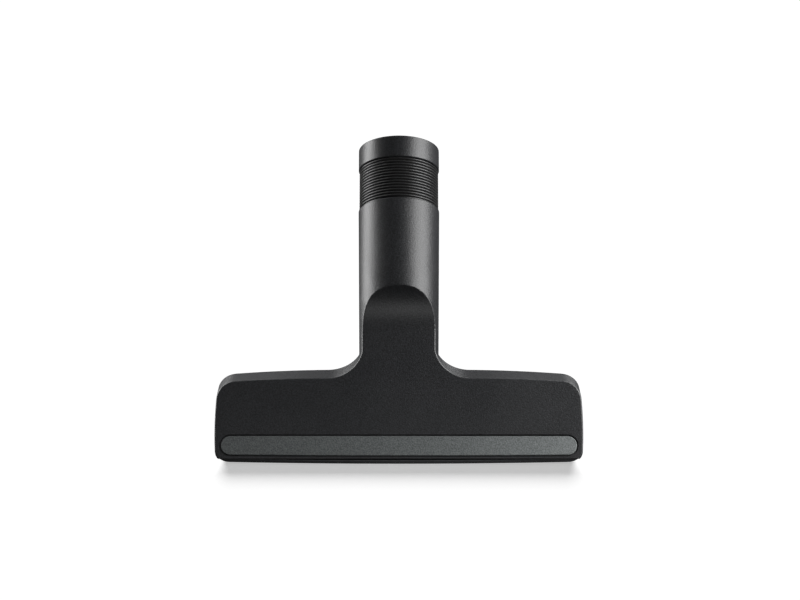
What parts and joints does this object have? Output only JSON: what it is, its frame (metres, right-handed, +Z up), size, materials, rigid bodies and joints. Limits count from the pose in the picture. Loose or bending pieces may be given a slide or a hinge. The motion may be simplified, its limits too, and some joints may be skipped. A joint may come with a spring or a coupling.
{
  "type": "vacuum hand nozzle",
  "caption": "T-shaped vacuum hand nozzle for upholstery and surfaces, with a slanted neck, a swivelling ribbed wand cuff, a suction slot and lint strips.",
  "frame": {"origin": "point on the sole's plane where the neck's axis meets it, on the land between the front lint strip and the slot", "axes": "+X to the right along the head, +Y to the rear, the way the neck leans, +Z up from the sole"},
  "size_m": [0.1764, 0.1158, 0.1424],
  "materials": {
    "shell_plastic": "fine spark-eroded grain, satin",
    "sole_plastic": "fine grain, worn smooth",
    "cuff_plastic": "satin",
    "collar_plastic": "fine grain, satin",
    "grip_rubber": "ribbed",
    "inlay_grey": "soft touch, fine grain",
    "adhesive_tape": "dull",
    "strip_rail": "plain",
    "velour": "short directional pile",
    "seal_rubber": "smooth",
    "slide_bush": "smooth",
    "screw_steel": "zinc plated"
  },
  "bodies": {
    "nozzle": {"nozzle_body": "shell_plastic", "sole_plate": "sole_plastic", "sole_gasket": "seal_rubber", "sole_screws": "screw_steel", "front_strip_carrier": "strip_rail", "rear_strip_carrier": "strip_rail", "front_velour_strip": "velour", "rear_velour_strip": "velour", "face_inlay": "inlay_grey", "inlay_tape": "adhesive_tape", "bearing_ring": "slide_bush", "thrust_washer": "slide_bush"},
    "cuff": {"cuff_tube": "cuff_plastic", "grip_sleeve": "grip_rubber", "end_collar": "collar_plastic", "swivel_seal": "seal_rubber", "retaining_ring": "screw_steel", "socket_seal": "seal_rubber"}
  },
  "joints": [
    {"name": "cuff_swivel", "type": "hinge", "parent": "nozzle", "child": "cuff", "pos_m": [0, 0.06785, 0.09691], "axis": [0, 0.5736, 0.8192], "continuous": true}
  ]
}
